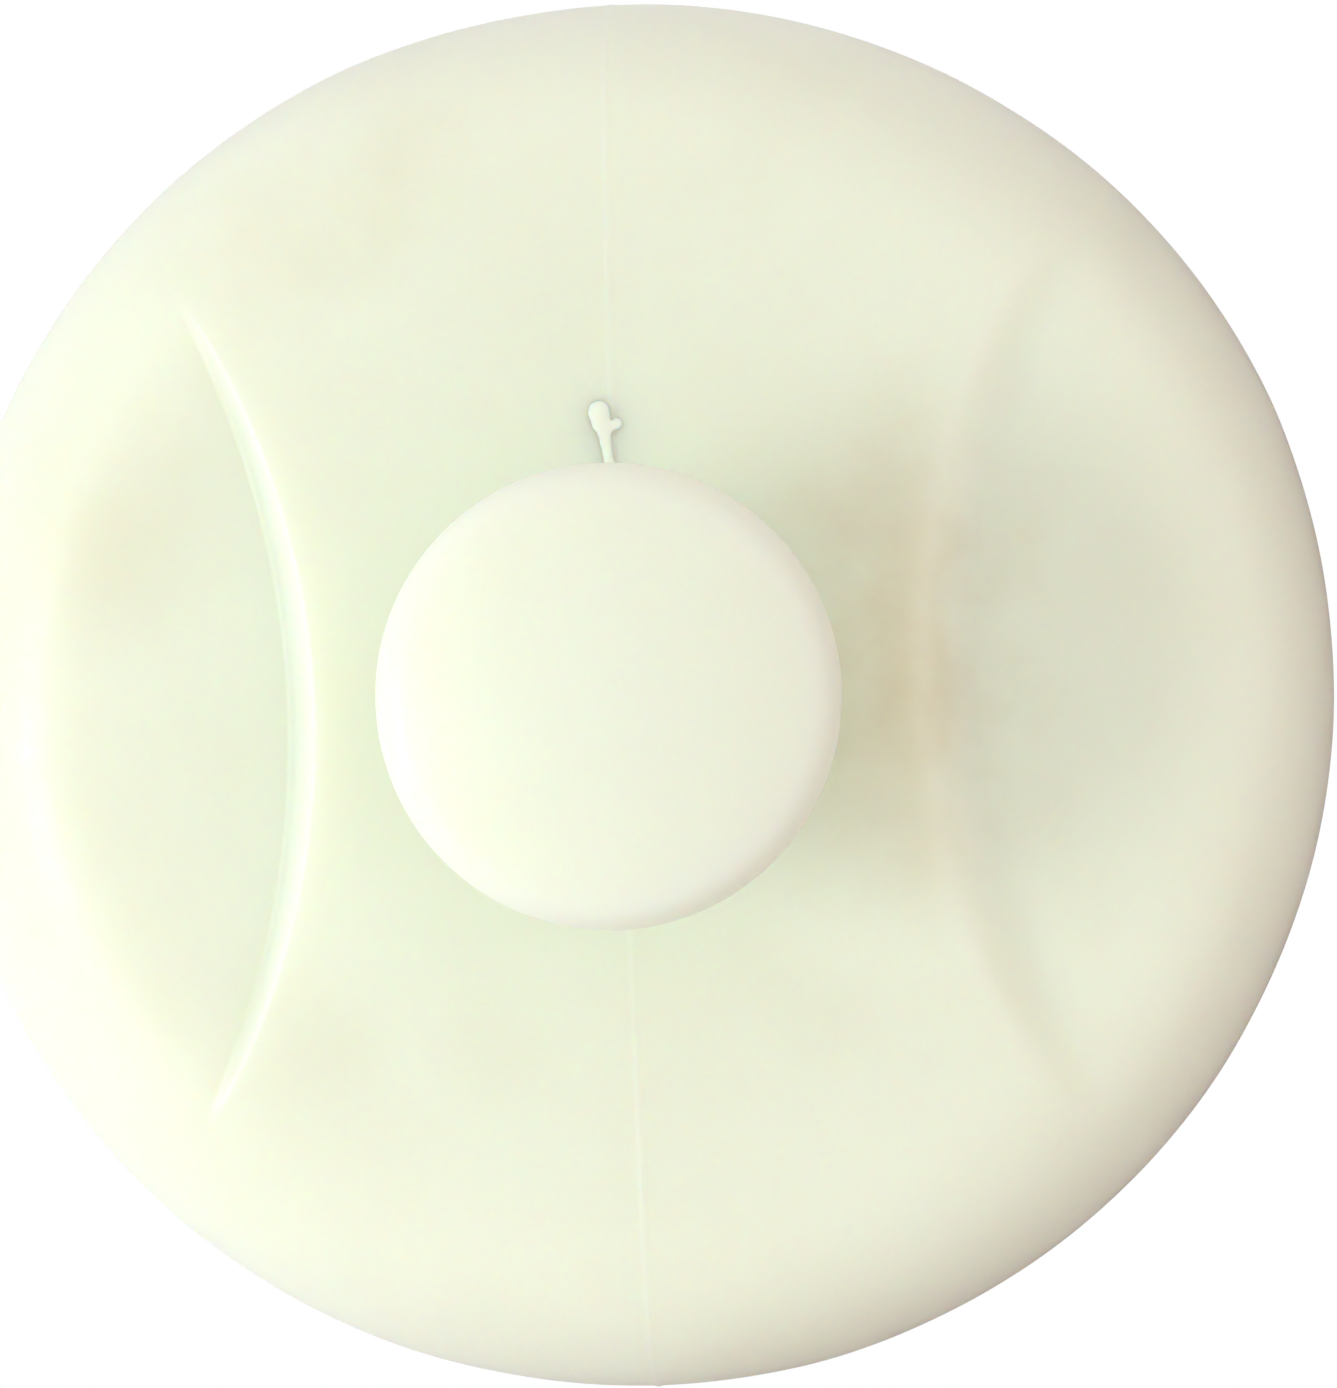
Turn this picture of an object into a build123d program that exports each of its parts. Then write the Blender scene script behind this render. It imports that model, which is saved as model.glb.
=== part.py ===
from build123d import *
import os
from math import radians, sqrt, tan

# A hard shaving soap puck with a grip knob, in millimetres.
# The origin is the centre of the flat resting face and +Z goes up through the knob.
# The mould parts along the plane X = 0, so the two finger scoops lie on -X and +X.
#
# puck_body   the round puck: a raised band between two finger scoops, a blind socket
# grip_knob   the mushroom knob, its neck and the spigot that sits in the socket
# joint_bead  melted soap that holds the knob: the film in the socket, a bead round
#             the foot of the neck and one tongue of squeeze-out

# Puck
PUCK_DIAMETER = 64.0
SCOOP_FLOOR_HEIGHT = 13.5     # resting face to the flat floor of the scoops
LOWER_ROUND = 5.0             # radius of the lower edge, which ends at the widest line

# The domed top is left standing as a raised band, along Y, between the two scoops
BAND_RISE = 2.4               # crown of the dome above the floor of the scoops
BAND_DIAMETER = 53.2          # circle where the dome comes down to the floor of the scoops
BAND_WAIST = 30.2             # between the feet of the two walls, where it is narrowest
WALL_ARC_RADIUS = 41.5        # each wall's foot in plan, bowed towards the knob
WALL_DRAFT = 28.0             # degrees that a wall leans away from upright

# Knob
KNOB_DIAMETER = 20.6
KNOB_CROWN_HEIGHT = 3.5       # widest line to the top of the knob
KNOB_CROWN_RADIUS = 26.0      # of the gently domed top
KNOB_UNDER_HEIGHT = 3.6       # underside to the widest line
NECK_DIAMETER = 13.0
NECK_COVE = 1.5               # hollow round where the neck meets the underside
FINGER_GAP = 6.0              # crown of the band to the underside of the knob

# Joint between knob and puck
SPIGOT_DEPTH = 8.0            # how far the neck goes down into the puck
SPIGOT_CHAMFER = 0.8
JOINT_GAP = 0.4               # film of melted soap round and under the spigot
BEAD_RADIUS = 1.2             # section of the bead round the neck
TONGUE_REACH = 12.7           # axis of the knob to the middle of the tongue's end
TONGUE_RADIUS = 0.4
TONGUE_END_RADIUS = 0.7

PUCK_RADIUS = PUCK_DIAMETER / 2
KNOB_RADIUS = KNOB_DIAMETER / 2
NECK_RADIUS = NECK_DIAMETER / 2
SOCKET_RADIUS = NECK_RADIUS + JOINT_GAP

CROWN_Z = SCOOP_FLOOR_HEIGHT + BAND_RISE
DOME_RADIUS = ((BAND_DIAMETER / 2) ** 2 + BAND_RISE**2) / (2 * BAND_RISE)
KNOB_UNDERSIDE_Z = CROWN_Z + FINGER_GAP
KNOB_WIDEST_Z = KNOB_UNDERSIDE_Z + KNOB_UNDER_HEIGHT
KNOB_TOP_Z = KNOB_WIDEST_Z + KNOB_CROWN_HEIGHT
SPIGOT_Z = CROWN_Z - SPIGOT_DEPTH

ON_FLOOR = (Align.CENTER, Align.CENTER, Align.MIN)
BELOW_TOP = (Align.CENTER, Align.CENTER, Align.MAX)


def crowned_side(reach, widest_z, top_z, radius):
    """Draws a spherical crown and the edge round that leads it down to the widest line."""
    drop = widest_z - (top_z - radius)
    edge_round = (radius**2 - reach**2 - drop**2) / (2 * (radius - reach))
    sphere_centre = Vector(0, top_z - radius)
    round_centre = Vector(reach - edge_round, widest_z)
    slope = Vector(0, 1).get_angle(round_centre - sphere_centre)
    CenterArc(sphere_centre, radius, 90, -slope)
    CenterArc(round_centre, edge_round, 90 - slope, slope - 90)


def turned(draw_outline):
    """Solid of revolution about Z from a function that draws half of its section."""
    with BuildPart() as part:
        with BuildSketch(Plane.XZ):
            with BuildLine():
                draw_outline()
            make_face()
        revolve(axis=Axis.Z)
    return part.part


def puck_outline():
    crowned_side(PUCK_RADIUS, LOWER_ROUND, CROWN_Z, DOME_RADIUS)
    lower = CenterArc((PUCK_RADIUS - LOWER_ROUND, LOWER_ROUND), LOWER_ROUND, 0, -90)
    Polyline(lower @ 1, (0, 0), (0, CROWN_Z))


def knob_outline():
    crowned_side(KNOB_RADIUS, KNOB_WIDEST_Z, KNOB_TOP_Z, KNOB_CROWN_RADIUS)
    cove_edge = NECK_RADIUS + NECK_COVE
    under_width = KNOB_RADIUS - cove_edge
    EllipticalCenterArc((cove_edge, KNOB_WIDEST_Z), under_width, KNOB_UNDER_HEIGHT, 0, arc_size=-90)
    cove = CenterArc((cove_edge, KNOB_UNDERSIDE_Z - NECK_COVE), NECK_COVE, 90, 90)
    chamfer_head = (NECK_RADIUS, SPIGOT_Z + SPIGOT_CHAMFER)
    chamfer_foot = (NECK_RADIUS - SPIGOT_CHAMFER, SPIGOT_Z)
    Polyline(cove @ 1, chamfer_head, chamfer_foot, (0, SPIGOT_Z), (0, KNOB_TOP_Z))


def band_height(radius):
    """Height of the domed top at a distance from the axis."""
    return CROWN_Z - DOME_RADIUS + sqrt(DOME_RADIUS**2 - radius**2)


def scoop_cutter():
    """Cone whose near side is the wall of the +X scoop."""
    head_radius = WALL_ARC_RADIUS + BAND_RISE * tan(radians(WALL_DRAFT))
    cone = Cone(WALL_ARC_RADIUS, head_radius, BAND_RISE, align=ON_FLOOR)
    return Pos(BAND_WAIST / 2 + WALL_ARC_RADIUS, 0, SCOOP_FLOOR_HEIGHT) * cone


def socket_plug():
    """What the blind socket takes out of the puck, up to its crown."""
    return Pos(0, 0, CROWN_Z) * Cylinder(SOCKET_RADIUS, SPIGOT_DEPTH + JOINT_GAP, align=BELOW_TOP)


def make_puck_body():
    right_scoop = scoop_cutter()
    left_scoop = Rot(0, 0, 180) * right_scoop
    return turned(puck_outline) - right_scoop - left_scoop - socket_plug()


def make_grip_knob():
    return turned(knob_outline)


def make_joint_bead(puck_body, grip_knob):
    mouth_z = band_height(SOCKET_RADIUS)
    ring = Pos(0, 0, mouth_z) * Torus(SOCKET_RADIUS, BEAD_RADIUS)
    tongue_start = Vector(0, SOCKET_RADIUS, mouth_z)
    tongue_end = Vector(0, TONGUE_REACH, band_height(TONGUE_REACH))
    tongue = tongue_end - tongue_start
    rod = Plane(tongue_start, z_dir=tongue) * Cylinder(TONGUE_RADIUS, tongue.length, align=ON_FLOOR)
    blob = Pos(*tongue_end) * Sphere(TONGUE_END_RADIUS)
    return socket_plug() + ring + rod + blob - puck_body - grip_knob


puck_body = make_puck_body()
grip_knob = make_grip_knob()
joint_bead = make_joint_bead(puck_body, grip_knob)

os.makedirs("parts", exist_ok=True)
export_step(puck_body, "parts/puck_body.step")
export_step(grip_knob, "parts/grip_knob.step")
export_step(joint_bead, "parts/joint_bead.step")
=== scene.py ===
from math import asin, cos, degrees, exp, hypot, pi, radians, sin, sqrt, tan

import bpy
from mathutils import Matrix, Vector, noise


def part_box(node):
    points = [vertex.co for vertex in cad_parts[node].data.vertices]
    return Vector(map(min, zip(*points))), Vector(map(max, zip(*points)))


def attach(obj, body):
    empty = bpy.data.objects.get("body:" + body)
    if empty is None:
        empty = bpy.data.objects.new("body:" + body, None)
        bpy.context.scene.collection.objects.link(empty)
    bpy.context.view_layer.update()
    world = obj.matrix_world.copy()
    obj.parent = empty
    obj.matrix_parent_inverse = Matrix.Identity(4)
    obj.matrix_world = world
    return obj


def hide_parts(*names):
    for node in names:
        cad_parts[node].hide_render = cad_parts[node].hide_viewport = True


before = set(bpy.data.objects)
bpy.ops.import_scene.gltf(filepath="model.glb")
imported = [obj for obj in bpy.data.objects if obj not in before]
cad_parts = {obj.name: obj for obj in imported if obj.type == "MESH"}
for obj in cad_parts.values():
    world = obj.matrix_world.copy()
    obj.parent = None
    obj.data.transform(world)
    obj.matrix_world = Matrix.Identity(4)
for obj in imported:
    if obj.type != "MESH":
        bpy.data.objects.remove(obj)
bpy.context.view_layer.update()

puck_low, puck_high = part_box("puck_body")
knob_low, knob_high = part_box("grip_knob")
bead_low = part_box("joint_bead")[0]

MM = 0.001

# Puck, as in the design
PUCK_RADIUS = (puck_high[0] - puck_low[0]) / 2
SCOOP_FLOOR = 13.5 * MM
CROWN = 15.9 * MM
LOWER_ROUND = 5.0 * MM
BAND_RADIUS = 26.6 * MM       # circle where the dome comes down to the scoop floor
BAND_WAIST = 30.2 * MM
WALL_ARC = 41.5 * MM
WALL_DRAFT = radians(28)
WALL_END = 27.4 * MM          # distance from the axis past which a wall has run out
WALL_SOFTNESS = {-1: 0.60 * MM, 1: 2.20 * MM}     # rounding of the foot and crest of each wall
CREST_REACH = 1.8 * MM        # fine rings run from this far inside a wall's foot
FOOT_REACH = 0.8 * MM         # to this far outside it

# Knob and joint, as in the design
KNOB_RADIUS = (knob_high[0] - knob_low[0]) / 2
KNOB_TOP = knob_high[2]
SPIGOT_END = knob_low[2]
SOCKET_END = bead_low[2]
KNOB_CROWN_HEIGHT = 3.5 * MM
KNOB_CROWN_RADIUS = 26.0 * MM
KNOB_UNDER_HEIGHT = 3.6 * MM
NECK_RADIUS = 6.5 * MM
NECK_COVE = 1.5 * MM
SPIGOT_CHAMFER = 0.8 * MM
JOINT_GAP = 0.4 * MM
SOCKET_RADIUS = NECK_RADIUS + JOINT_GAP
BEAD_RADIUS = 1.2 * MM
BEAD_FLATNESS = 0.8
BEAD_ROOT = 0.5 * MM          # how far the bead goes down into the puck
TONGUE_REACH = 12.7 * MM

# Lumps of the tongue, in millimetres: across, along from its reach, radius
TONGUE_END = ((-0.55, 0.05, 0.70), (-0.50, -0.45, 0.58), (-0.20, -0.75, 0.44), (0.20, -0.48, 0.42))
TONGUE_LUMPS = 14             # from the neck to that end
TONGUE_BEND = 0.6 * MM        # how far it has drifted towards -X there
TONGUE_RADIUS = 0.36 * MM     # at the neck
TONGUE_GROWTH = 0.10 * MM
LUMP_FLATNESS = 0.5
LUMP_SINK = 0.3               # of its radius, so that it stands a fifth of the radius above the puck
SKIN_GRAIN = 0.12 * MM        # voxel of the skin that runs the lumps together

# Parting line of the mould, a faint raised line in the plane X = 0
SEAM_WIDTH = 0.16 * MM
SEAM_HEIGHT = 0.075 * MM
SEAM_FADE_LENGTH = 4.0 * MM   # it comes and goes over about this length

# The cast shape isn't perfectly round: a little longer on one diagonal
LONG_AXIS = radians(18)
OUT_OF_ROUND = 0.006
WAVE_SIZE = 14.0 * MM
WAVE_HEIGHT = 0.10 * MM
RIPPLE_SIZE = 5.0 * MM
RIPPLE_HEIGHT = 0.03 * MM
KNOB_WAVE_SIZE = 9.0 * MM
KNOB_UNEVENNESS = 0.004


# ---- sections, drawn as points (distance from axis, height) ----

def arc(centre, radius, start, end, steps):
    """Points of an arc, from the start angle to the end angle in degrees."""
    turns = [radians(start + (end - start) * i / steps) for i in range(steps + 1)]
    return [(centre[0] + radius * cos(t), centre[1] + radius * sin(t)) for t in turns]


def edge_round(reach, height, sphere):
    """Radius that leads a spherical crown down to the widest line."""
    drop = sphere - height
    return (sphere**2 - reach**2 - drop**2) / (2 * (sphere - reach))


def knob_section():
    widest = KNOB_TOP - KNOB_CROWN_HEIGHT
    sphere = KNOB_CROWN_RADIUS
    edge = edge_round(KNOB_RADIUS, KNOB_CROWN_HEIGHT, sphere)
    slope = degrees(asin((KNOB_RADIUS - edge) / (sphere - edge)))
    cove_edge = NECK_RADIUS + NECK_COVE
    underside = widest - KNOB_UNDER_HEIGHT
    points = arc((0, KNOB_TOP - sphere), sphere, 90, 90 - slope, 24)
    points += arc((KNOB_RADIUS - edge, widest), edge, 90 - slope, 0, 24)[1:]
    under_width = KNOB_RADIUS - cove_edge
    under = arc((0, 0), 1, 0, -90, 16)[1:]
    points += [(cove_edge + under_width * x, widest + KNOB_UNDER_HEIGHT * y) for x, y in under]
    points += arc((cove_edge, underside - NECK_COVE), NECK_COVE, 90, 180, 10)[1:]
    neck_top = underside - NECK_COVE
    neck_drop = SPIGOT_END + SPIGOT_CHAMFER - neck_top
    points += [(NECK_RADIUS, neck_top + neck_drop * i / 20) for i in range(1, 21)]
    points += [(NECK_RADIUS - SPIGOT_CHAMFER, SPIGOT_END), (0, SPIGOT_END)]
    return points


class Profile:
    """The puck's outer section from the crown to the middle of the underside, by arc length."""

    def __init__(self):
        rise = CROWN - SCOOP_FLOOR
        self.sphere = (BAND_RADIUS**2 + rise**2) / (2 * rise)
        self.edge = edge_round(PUCK_RADIUS, CROWN - LOWER_ROUND, self.sphere)
        self.slope = asin((PUCK_RADIUS - self.edge) / (self.sphere - self.edge))
        self.dome = self.sphere * self.slope
        self.widest = self.dome + self.edge * (pi / 2 - self.slope)
        self.foot = self.widest + LOWER_ROUND * pi / 2
        self.end = self.foot + PUCK_RADIUS - LOWER_ROUND

    def at(self, length):
        if length < self.dome:
            turn = length / self.sphere
            return self.sphere * sin(turn), CROWN - self.sphere * (1 - cos(turn))
        if length < self.widest:
            turn = self.slope + (length - self.dome) / self.edge
            return PUCK_RADIUS - self.edge * (1 - sin(turn)), LOWER_ROUND + self.edge * cos(turn)
        if length < self.foot:
            turn = (length - self.widest) / LOWER_ROUND
            return PUCK_RADIUS - LOWER_ROUND * (1 - cos(turn)), LOWER_ROUND * (1 - sin(turn))
        return self.end - length, 0.0

    def length_at(self, radius):
        """Arc length on the top at a distance from the axis."""
        if radius < self.sphere * sin(self.slope):
            return self.sphere * asin(radius / self.sphere)
        turn = asin(1 - (PUCK_RADIUS - radius) / self.edge)
        return self.dome + self.edge * (turn - self.slope)


profile = Profile()


# ---- shaping ----

def soft_min(a, b, softness):
    h = max(softness - abs(a - b), 0) / softness
    return min(a, b) - h * h * softness / 4


def soft_max(a, b, softness):
    return -soft_min(-a, -b, softness)


def smooth_step(low, high, value):
    t = min(max((value - low) / (high - low), 0), 1)
    return t * t * (3 - 2 * t)


def scooped(x, y, z):
    """Height of the top after the two finger scoops are cut from the dome."""
    for side in (-1, 1):
        reach = hypot(x - side * (BAND_WAIST / 2 + WALL_ARC), y) - WALL_ARC
        wall = SCOOP_FLOOR + reach / tan(WALL_DRAFT)
        cut = soft_max(SCOOP_FLOOR, wall, WALL_SOFTNESS[side])
        z = soft_min(z, cut, WALL_SOFTNESS[side])
    return z


def wall_radius(angle):
    """Distance from the axis to the nearer wall's foot, looking out at an angle."""
    centre = BAND_WAIST / 2 + WALL_ARC
    inside = WALL_ARC**2 - (centre * sin(angle)) ** 2
    along_band = abs(cos(angle)) < 0.5
    if along_band or inside <= 0:
        return WALL_END
    return min(centre * abs(cos(angle)) - sqrt(inside), WALL_END)


def out_of_round(point):
    along = Vector((cos(LONG_AXIS), sin(LONG_AXIS), 0))
    across = Vector((-sin(LONG_AXIS), cos(LONG_AXIS), 0))
    reach = hypot(point.x, point.y) / PUCK_RADIUS
    amount = OUT_OF_ROUND * reach * reach
    return point + along * (point.dot(along) * amount) - across * (point.dot(across) * amount)


def smooth_noise(point, size, seed):
    return noise.noise(point / size + Vector((seed, 3 * seed, 7 * seed)))


def waviness(point):
    """How far the cast skin stands out here: long waves with short ripples on them."""
    wave = WAVE_HEIGHT * smooth_noise(point, WAVE_SIZE, 1)
    return wave + RIPPLE_HEIGHT * smooth_noise(point, RIPPLE_SIZE, 2)


# ---- meshes ----

def finished(name, verts, faces):
    mesh = bpy.data.meshes.new(name)
    mesh.from_pydata([tuple(v) for v in verts], [], faces)
    mesh.validate()
    mesh.shade_smooth()
    piece = bpy.data.objects.new(name, mesh)
    bpy.context.scene.collection.objects.link(piece)
    return piece


def ring_skin(name, top, rings, bottom):
    """Closed mesh over rings of points, from one point on the axis to another."""
    count = len(rings[0])
    verts = [top] + [point for ring in rings for point in ring] + [bottom]
    last = len(verts) - 1
    faces = []
    for i in range(count):
        j = (i + 1) % count
        faces.append((0, 1 + i, 1 + j))
        faces.append((last, last - count + j, last - count + i))
        for ring in range(len(rings) - 1):
            a = 1 + ring * count
            faces.append((a + i, a + count + i, a + count + j, a + j))
    return finished(name, verts, faces)


def lathe(name, section, count, shape=Vector):
    """Closed mesh turned about the axis. The section runs from axis to axis."""
    turns = [2 * pi * i / count for i in range(count)]
    rings = [[shape((r * cos(t), r * sin(t), z)) for t in turns] for r, z in section[1:-1]]
    return ring_skin(name, Vector((0, 0, section[0][1])), rings, Vector((0, 0, section[-1][1])))


def puck_angles():
    """Angles of the columns: even all round, and closer where the parting line crosses."""
    found = set(round(i * 0.75, 3) for i in range(480))
    for middle in (90, 270):
        found |= {round(middle + i * 0.25, 3) for i in range(-12, 13)}
        found |= {round(middle + i * 0.1, 3) for i in range(-10, 11)}
    return [radians(a) for a in sorted(found)]


def puck_lengths(angle):
    """Arc lengths of the rings at one angle. They crowd round the scoop's wall."""
    wall = profile.length_at(wall_radius(angle))
    start = profile.length_at(SOCKET_RADIUS)
    crest = wall - CREST_REACH
    foot = wall + FOOT_REACH
    stops = [(start, crest, 26), (crest, foot, 30), (foot, profile.widest, 22)]
    stops += [(profile.widest, profile.foot, 12), (profile.foot, profile.end, 10)]
    lengths = [start]
    for low, high, steps in stops:
        lengths += [low + (high - low) * (i + 1) / steps for i in range(steps)]
    return lengths


def seam_ridge(x, y, z):
    """Height of the parting line over the surface."""
    fade = 0.55 + 0.45 * noise.noise(Vector((0, y, z)) / SEAM_FADE_LENGTH)
    return SEAM_HEIGHT * fade * exp(-((x / SEAM_WIDTH) ** 2))


def puck_point(length, angle):
    """Point of the puck's skin, with the scoops, the parting line and its unevenness."""
    radius, height = profile.at(length)
    x, y = radius * cos(angle), radius * sin(angle)
    if length < profile.widest:
        height = scooped(x, y, height)
    point = Vector((x, y, height))
    if length < profile.foot:
        lean = smooth_step(profile.dome, profile.widest, length)
        outward = Vector((cos(angle), sin(angle), 0)) * lean
        normal = (outward + Vector((0, 0, 1 - outward.length))).normalized()
        lift = seam_ridge(x, y, height) + waviness(point)
        point += normal * lift * smooth_step(profile.foot, profile.widest, length)
    return out_of_round(point)


def make_puck():
    columns = []
    for angle in puck_angles():
        socket_corner = Vector((SOCKET_RADIUS * cos(angle), SOCKET_RADIUS * sin(angle), SOCKET_END))
        skin = [puck_point(length, angle) for length in puck_lengths(angle)[:-1]]
        columns.append([socket_corner] + skin)
    return ring_skin("soap_puck", Vector((0, 0, SOCKET_END)), list(zip(*columns)), Vector((0, 0, 0)))


def make_knob():
    def uneven(place):
        point = Vector(place)
        out = 1 + KNOB_UNEVENNESS * noise.noise(point / KNOB_WAVE_SIZE + Vector((5, 5, 5)))
        return Vector((point.x * out, point.y * out, point.z))
    return lathe("soap_knob", knob_section(), 192, uneven)


def puck_top(radius):
    return profile.at(profile.length_at(radius))[1]


def bead_section():
    """Film in the socket and the bead round the neck, from axis to axis."""
    mouth = puck_top(SOCKET_RADIUS)
    points = [(0, SPIGOT_END), (NECK_RADIUS - SPIGOT_CHAMFER, SPIGOT_END)]
    points += [(NECK_RADIUS, SPIGOT_END + SPIGOT_CHAMFER), (NECK_RADIUS, mouth)]
    bead = arc((0, 0), BEAD_RADIUS, 110, -10, 20)
    points += [(SOCKET_RADIUS + x, mouth + BEAD_FLATNESS * z) for x, z in bead]
    points += [(SOCKET_RADIUS, mouth - BEAD_ROOT), (SOCKET_RADIUS, SOCKET_END), (0, SOCKET_END)]
    return points


def skin_height(x, y):
    """Height of the puck's wavy top at a place on the band."""
    point = Vector((x, y, puck_top(hypot(x, y))))
    return point.z + waviness(point)


def tongue_lump(x, y, size):
    """Flat lump of soap, sunk in the puck for most of its height."""
    place = (x, y, skin_height(x, y) - LUMP_SINK * size)
    bpy.ops.mesh.primitive_uv_sphere_add(segments=24, ring_count=16, radius=size,
                                         location=place, scale=(1, 1, LUMP_FLATNESS))
    return bpy.context.object


def make_bead():
    """The bead and its tongue, run together into one skin."""
    ring = lathe("bead_ring", bead_section(), 96)
    lumps = [ring]
    for i in range(TONGUE_LUMPS):
        t = i / (TONGUE_LUMPS - 1)
        y = SOCKET_RADIUS + (TONGUE_REACH - SOCKET_RADIUS) * t
        lumps.append(tongue_lump(-TONGUE_BEND * t**3, y, TONGUE_RADIUS + TONGUE_GROWTH * t))
    for across, along, size in TONGUE_END:
        lumps.append(tongue_lump(across * MM, TONGUE_REACH + along * MM, size * MM))
    with bpy.context.temp_override(active_object=ring, selected_editable_objects=lumps):
        bpy.ops.object.join()
    remesh = ring.modifiers.new("skin", "REMESH")
    remesh.mode, remesh.voxel_size = "VOXEL", SKIN_GRAIN
    smooth = ring.modifiers.new("melt", "SMOOTH")
    smooth.iterations = 4
    graph = bpy.context.evaluated_depsgraph_get()
    mesh = bpy.data.meshes.new_from_object(ring.evaluated_get(graph))
    mesh.shade_smooth()
    bpy.data.objects.remove(ring)
    piece = bpy.data.objects.new("soap_bead", mesh)
    bpy.context.scene.collection.objects.link(piece)
    return piece


# ---- materials ----

def new_group(name, inputs, outputs):
    """A node group and its two end nodes."""
    group = bpy.data.node_groups.new(name, "ShaderNodeTree")
    for socket, kind in inputs:
        group.interface.new_socket(socket, in_out="INPUT", socket_type=kind)
    for socket, kind in outputs:
        group.interface.new_socket(socket, in_out="OUTPUT", socket_type=kind)
    return group, group.nodes.new("NodeGroupInput"), group.nodes.new("NodeGroupOutput")


def noise_node(tree, place, scale, detail, roughness=0.5):
    node = tree.nodes.new("ShaderNodeTexNoise")
    node.inputs["Scale"].default_value = scale
    node.inputs["Detail"].default_value = detail
    node.inputs["Roughness"].default_value = roughness
    tree.links.new(place, node.inputs["Vector"])
    return node.outputs["Fac"]


def ranged(tree, value, low, high, to_low=0.0, to_high=1.0):
    """The value, taken smoothly from one range to another and held at its ends."""
    node = tree.nodes.new("ShaderNodeMapRange")
    node.interpolation_type = "SMOOTHSTEP"
    for socket, number in (("From Min", low), ("From Max", high), ("To Min", to_low), ("To Max", to_high)):
        node.inputs[socket].default_value = number
    tree.links.new(value, node.inputs["Value"])
    return node.outputs["Result"]


def maths(tree, operation, first, second):
    node = tree.nodes.new("ShaderNodeMath")
    node.operation = operation
    for socket, value in zip(node.inputs, (first, second)):
        if isinstance(value, (int, float)):
            socket.default_value = value
        else:
            tree.links.new(value, socket)
    return node.outputs["Value"]


def mixed(tree, amount, first, second):
    """Colour between two, each given as a socket or as red, green and blue."""
    node = tree.nodes.new("ShaderNodeMix")
    node.data_type = "RGBA"
    tree.links.new(amount, node.inputs["Factor"])
    for socket, colour in (("A", first), ("B", second)):
        if isinstance(colour, tuple):
            node.inputs[socket].default_value = (*colour, 1)
        else:
            tree.links.new(colour, node.inputs[socket])
    return node.outputs["Result"]


def towards_dark_side(tree, kind):
    """How far a place lies towards +X and, by half as much, towards -Y, and its separate axes."""
    axes = tree.nodes.new("ShaderNodeSeparateXYZ")
    tree.links.new(tree.nodes.new("ShaderNodeTexCoord").outputs[kind], axes.inputs["Vector"])
    half_y = maths(tree, "MULTIPLY", axes.outputs["Y"], 0.5)
    return maths(tree, "SUBTRACT", axes.outputs["X"], half_y), axes


def soap_wear_group():
    """What all soap here shares: cloudy patches, handling marks, pits and a fine grain."""
    # The scales of noise are per metre, so 90 makes clouds about 11 mm across
    group, start, end = new_group(
        "soap_wear", [("Place", "NodeSocketVector")],
        [("Clouds", "NodeSocketFloat"), ("Roughness", "NodeSocketFloat"), ("Height", "NodeSocketFloat")])
    place = start.outputs["Place"]
    link = group.links.new
    clouds = ranged(group, noise_node(group, place, 90, 3, 0.55), 0.35, 0.70)
    link(clouds, end.inputs["Clouds"])
    marks = noise_node(group, place, 420, 4, 0.6)
    link(ranged(group, marks, 0.30, 0.75, 0.36, 0.52), end.inputs["Roughness"])
    pits = group.nodes.new("ShaderNodeTexVoronoi")
    pits.inputs["Scale"].default_value = 900
    link(place, pits.inputs["Vector"])
    pit_size = ranged(group, noise_node(group, place, 300, 1), 0.52, 0.72, 0.0, 0.28)
    pit = maths(group, "SUBTRACT", pits.outputs["Distance"], pit_size)
    pit = maths(group, "MINIMUM", pit, 0.0)
    grain = maths(group, "MULTIPLY", noise_node(group, place, 2600, 2), 0.12)
    soft = maths(group, "MULTIPLY", noise_node(group, place, 240, 2), 0.55)
    link(maths(group, "ADD", maths(group, "ADD", grain, soft), pit), end.inputs["Height"])
    return group


soap_wear = soap_wear_group()


def stain_and_shadow_patch(tree, place, centre, size, fuzz):
    """Mask of one soft round patch, broken up at its edge. It serves the tan stains and the painted shadow
    beside the knob.
    """
    away = tree.nodes.new("ShaderNodeVectorMath")
    away.operation = "DISTANCE"
    away.inputs[1].default_value = [c * MM for c in centre]
    tree.links.new(place, away.inputs[0])
    ragged = maths(tree, "ADD", away.outputs["Value"], maths(tree, "MULTIPLY", fuzz, size * MM))
    return ranged(tree, ragged, size * 0.5 * MM, size * 1.5 * MM, 1.0, 0.0)


def soap(name, colour, tint, tint_amount, depth, stains_and_shadow=()):
    """Hard, slightly translucent soap with faint clouds and handling marks, and tan patches: stains, and
    on the puck also painted shadow beside the knob.
    """
    material = bpy.data.materials.new(name)
    material.use_nodes = True
    tree = material.node_tree
    nodes, links = tree.nodes, tree.links
    shader = nodes["Principled BSDF"]
    place = nodes.new("ShaderNodeTexCoord").outputs["Object"]
    wear = nodes.new("ShaderNodeGroup")
    wear.node_tree = soap_wear
    links.new(place, wear.inputs["Place"])
    amount = maths(tree, "MULTIPLY", wear.outputs["Clouds"], tint_amount)
    # tan patches: real stains, and on the puck also the painted shadow of the knob
    if stains_and_shadow:
        fuzz = noise_node(tree, place, 220, 3, 0.6)
        for centre, size, strength in stains_and_shadow:
            mask = maths(tree, "MULTIPLY", stain_and_shadow_patch(tree, place, centre, size, fuzz), strength)
            amount = maths(tree, "ADD", amount, mask)
    links.new(mixed(tree, amount, colour, tint), shader.inputs["Base Color"])
    links.new(wear.outputs["Roughness"], shader.inputs["Roughness"])
    bump = nodes.new("ShaderNodeBump")
    bump.inputs["Strength"].default_value = 0.5
    bump.inputs["Distance"].default_value = 0.06 * MM
    links.new(wear.outputs["Height"], bump.inputs["Height"])
    links.new(bump.outputs["Normal"], shader.inputs["Normal"])
    shader.inputs["Subsurface Weight"].default_value = 1.0
    shader.inputs["Subsurface Radius"].default_value = (1.0, 0.6, 0.35)     # red goes deepest
    shader.inputs["Subsurface Scale"].default_value = depth
    return material


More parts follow.
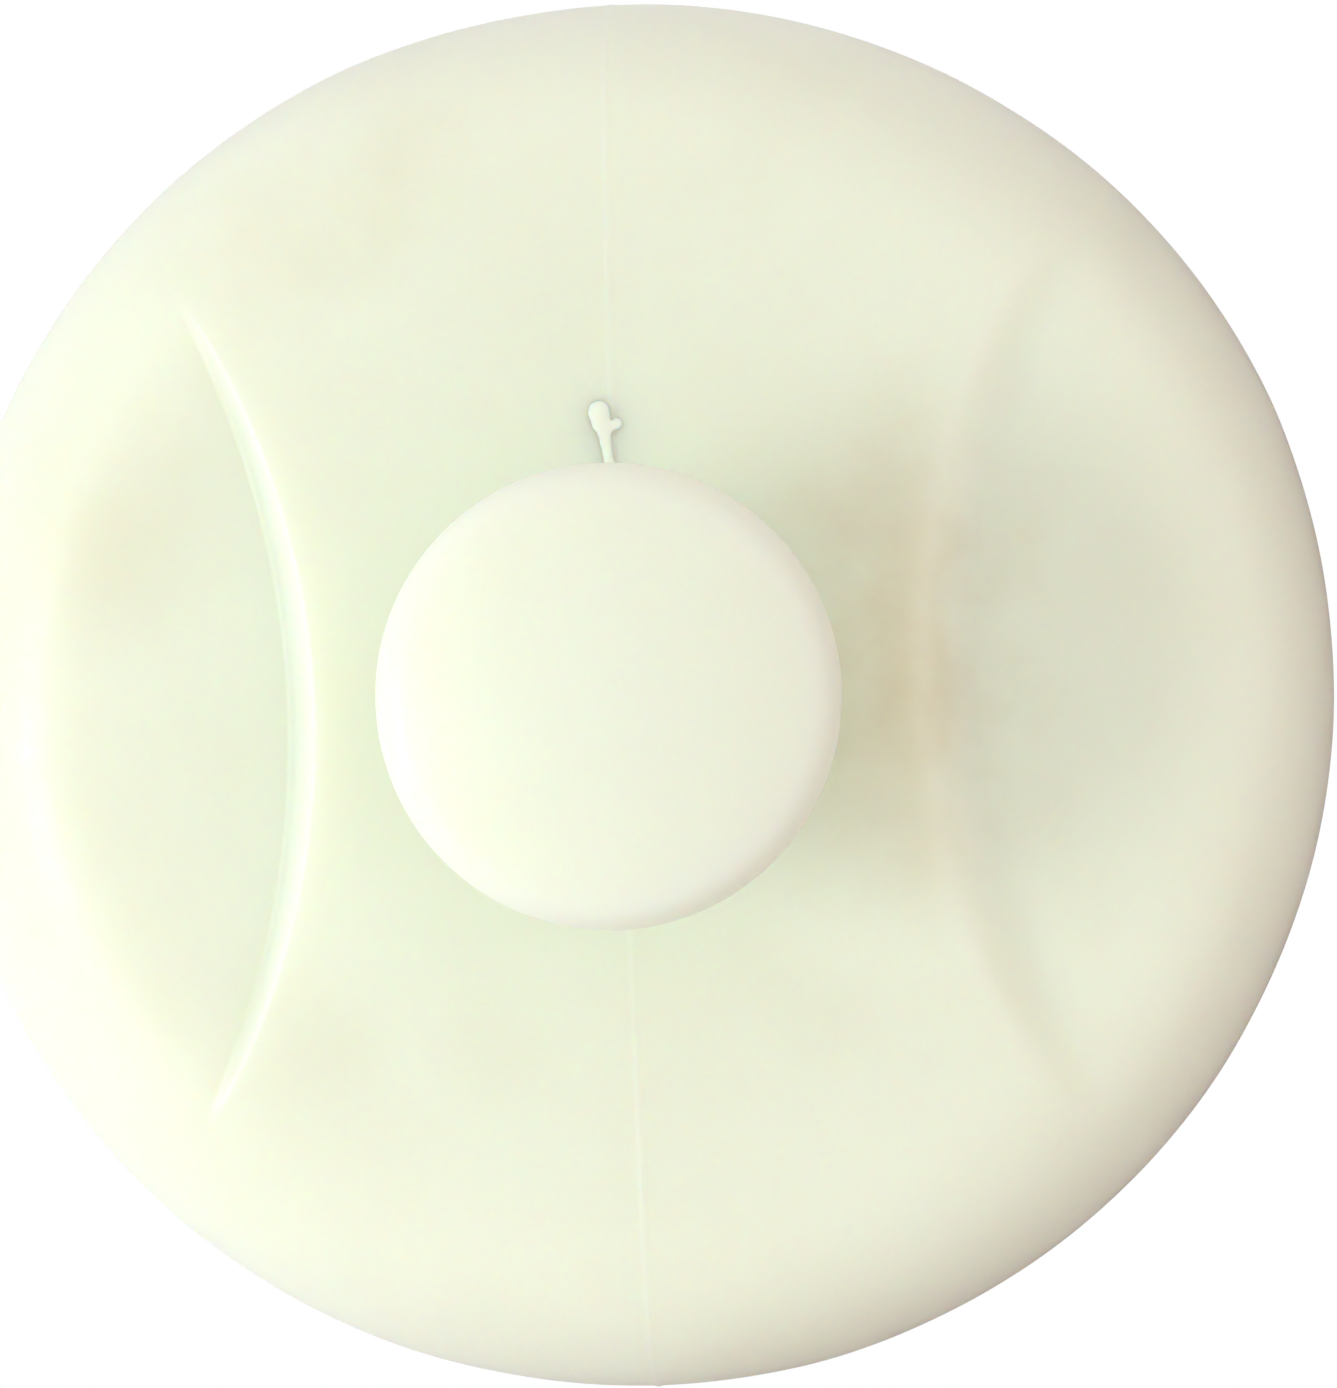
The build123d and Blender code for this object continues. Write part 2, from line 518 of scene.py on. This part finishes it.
def stage_material():
    """Paper that looks evenly white. It throws back a bright light at -X and a dim brown one at +X."""
    material = bpy.data.materials.new("stage_white")
    material.use_nodes = True
    tree = material.node_tree
    nodes, links = tree.nodes, tree.links
    paper = nodes["Principled BSDF"]
    paper.inputs["Roughness"].default_value = 0.9
    side, _ = towards_dark_side(tree, "Object")
    amount = ranged(tree, side, -0.01, 0.035)
    links.new(mixed(tree, amount, (0.80, 0.80, 0.80), (0.24, 0.15, 0.13)), paper.inputs["Base Color"])
    glow = nodes.new("ShaderNodeEmission")
    glow.inputs["Strength"].default_value = 1.0
    ray = nodes.new("ShaderNodeLightPath")
    mix = nodes.new("ShaderNodeMixShader")
    links.new(ray.outputs["Is Camera Ray"], mix.inputs["Fac"])
    links.new(paper.outputs["BSDF"], mix.inputs[1])
    links.new(glow.outputs["Emission"], mix.inputs[2])
    links.new(mix.outputs["Shader"], nodes["Material Output"].inputs["Surface"])
    return material


# ---- the three pieces ----

puck = make_puck()
knob = make_knob()
bead = make_bead()
for piece, node, slot in ((puck, "puck_body", "soap_body"), (knob, "grip_knob", "soap_knob"),
                          (bead, "joint_bead", "soap_bead")):
    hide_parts(node)
    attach(piece, "root")

# Colours of the soap, as red, green and blue. TAN also colours the painted shadow beside the knob.
IVORY = (0.81, 0.87, 0.65)
TAN = (0.66, 0.60, 0.36)

# Tan patches on the puck: centre and size in millimetres, strength. The first six are stains, the last
# three painted shadow.
PUCK_STAINS_AND_SHADOW = [
    ((-15.0, 22.0, 15.0), 7.0, 0.17), ((-9.0, 25.0, 15.0), 5.0, 0.17), ((-23.5, 8.0, 13.5), 7.5, 0.15),
    ((-14.0, -15.0, 15.0), 5.0, 0.09), ((-6.0, -16.0, 15.0), 4.0, 0.09), ((8.0, -15.0, 15.0), 4.0, 0.09),
    # Painted shadow: the knob's cast shadow on the band towards +X, darkened into the colour up to the
    # right wall
    ((13.0, 7.0, 15.4), 8.0, 0.32), ((13.5, 1.5, 15.4), 7.5, 0.36), ((13.0, -4.0, 15.4), 8.0, 0.32),
]
puck.data.materials.append(soap("soap_ivory", IVORY, TAN, 0.08, 0.005, PUCK_STAINS_AND_SHADOW))
knob.data.materials.append(soap("soap_pale", (0.775, 0.85, 0.655), TAN, 0.03, 0.009))
bead.data.materials.append(soap("soap_remelted", (0.87, 0.92, 0.72), IVORY, 0.20, 0.0003))


# ---- stage, camera and light ----

LAMP_AIM = Vector((0, 0, 0.01))
DAYLIGHT = (0.95, 0.99, 1.11)
COOL_ROOM = (0.85, 0.86, 0.98)
WARM_ROOM = (1.40, 1.26, 1.42)
DARK_WALL = (0.24, 0.14, 0.12)
FRAME_HEIGHT = 0.064          # of the view at the aim, in metres
SENSOR = 36


def make_floor():
    half = 1.5
    corners = [Vector((x * half, y * half, 0)) for x, y in ((-1, -1), (1, -1), (1, 1), (-1, 1))]
    floor = finished("stage_floor", corners, [(0, 1, 2, 3)])
    floor.data.materials.append(stage_material())


def make_camera():
    data = bpy.data.cameras.new("camera")
    camera = bpy.data.objects.new("camera", data)
    bpy.context.scene.collection.objects.link(camera)
    tilt = radians(3.2)       # away from straight down, towards +X
    roll = radians(2.2)
    distance = 0.45
    aim = Vector((0.0015, 0.0, LOWER_ROUND))
    back = Vector((sin(tilt), 0, cos(tilt)))
    up = Vector((sin(roll), cos(roll), 0))
    right = up.cross(back).normalized()
    up = back.cross(right)
    turn = Matrix((right, up, back)).transposed()
    camera.matrix_world = Matrix.Translation(aim + back * distance) @ turn.to_4x4()
    data.sensor_fit = "VERTICAL"
    data.sensor_height = SENSOR
    data.lens = SENSOR * distance / FRAME_HEIGHT
    bpy.context.scene.camera = camera


def area_light(name, place, size, power):
    """Round lamp in daylight colour, aimed at the middle of the puck."""
    data = bpy.data.lights.new(name, "AREA")
    data.shape, data.size, data.energy, data.color = "DISK", size, power, DAYLIGHT
    light = bpy.data.objects.new(name, data)
    light.location = place
    light.rotation_euler = (LAMP_AIM - Vector(place)).to_track_quat("-Z", "Y").to_euler()
    bpy.context.scene.collection.objects.link(light)


def make_world():
    """A pale room, brighter towards +X, where only what lies low is dark and brown."""
    world = bpy.data.worlds.new("studio")
    bpy.context.scene.world = world
    world.use_nodes = True
    tree = world.node_tree
    nodes, links = tree.nodes, tree.links
    side, axes = towards_dark_side(tree, "Generated")
    room = mixed(tree, ranged(tree, axes.outputs["X"], -1.0, 1.0), COOL_ROOM, WARM_ROOM)
    low = ranged(tree, axes.outputs["Z"], 0.0, 0.16, 1.0, 0.0)
    dark = maths(tree, "MULTIPLY", low, ranged(tree, side, 0.3, 0.9))
    links.new(mixed(tree, dark, room, DARK_WALL), nodes["Background"].inputs["Color"])
    nodes["Background"].inputs["Strength"].default_value = 0.80


make_floor()
make_camera()
make_world()
area_light("key", (-0.28, -0.035, 0.205), 0.14, 0.45)
area_light("window", (-0.40, -0.24, 0.06), 0.12, 0.12)
bpy.context.scene.view_settings.view_transform = "Standard"
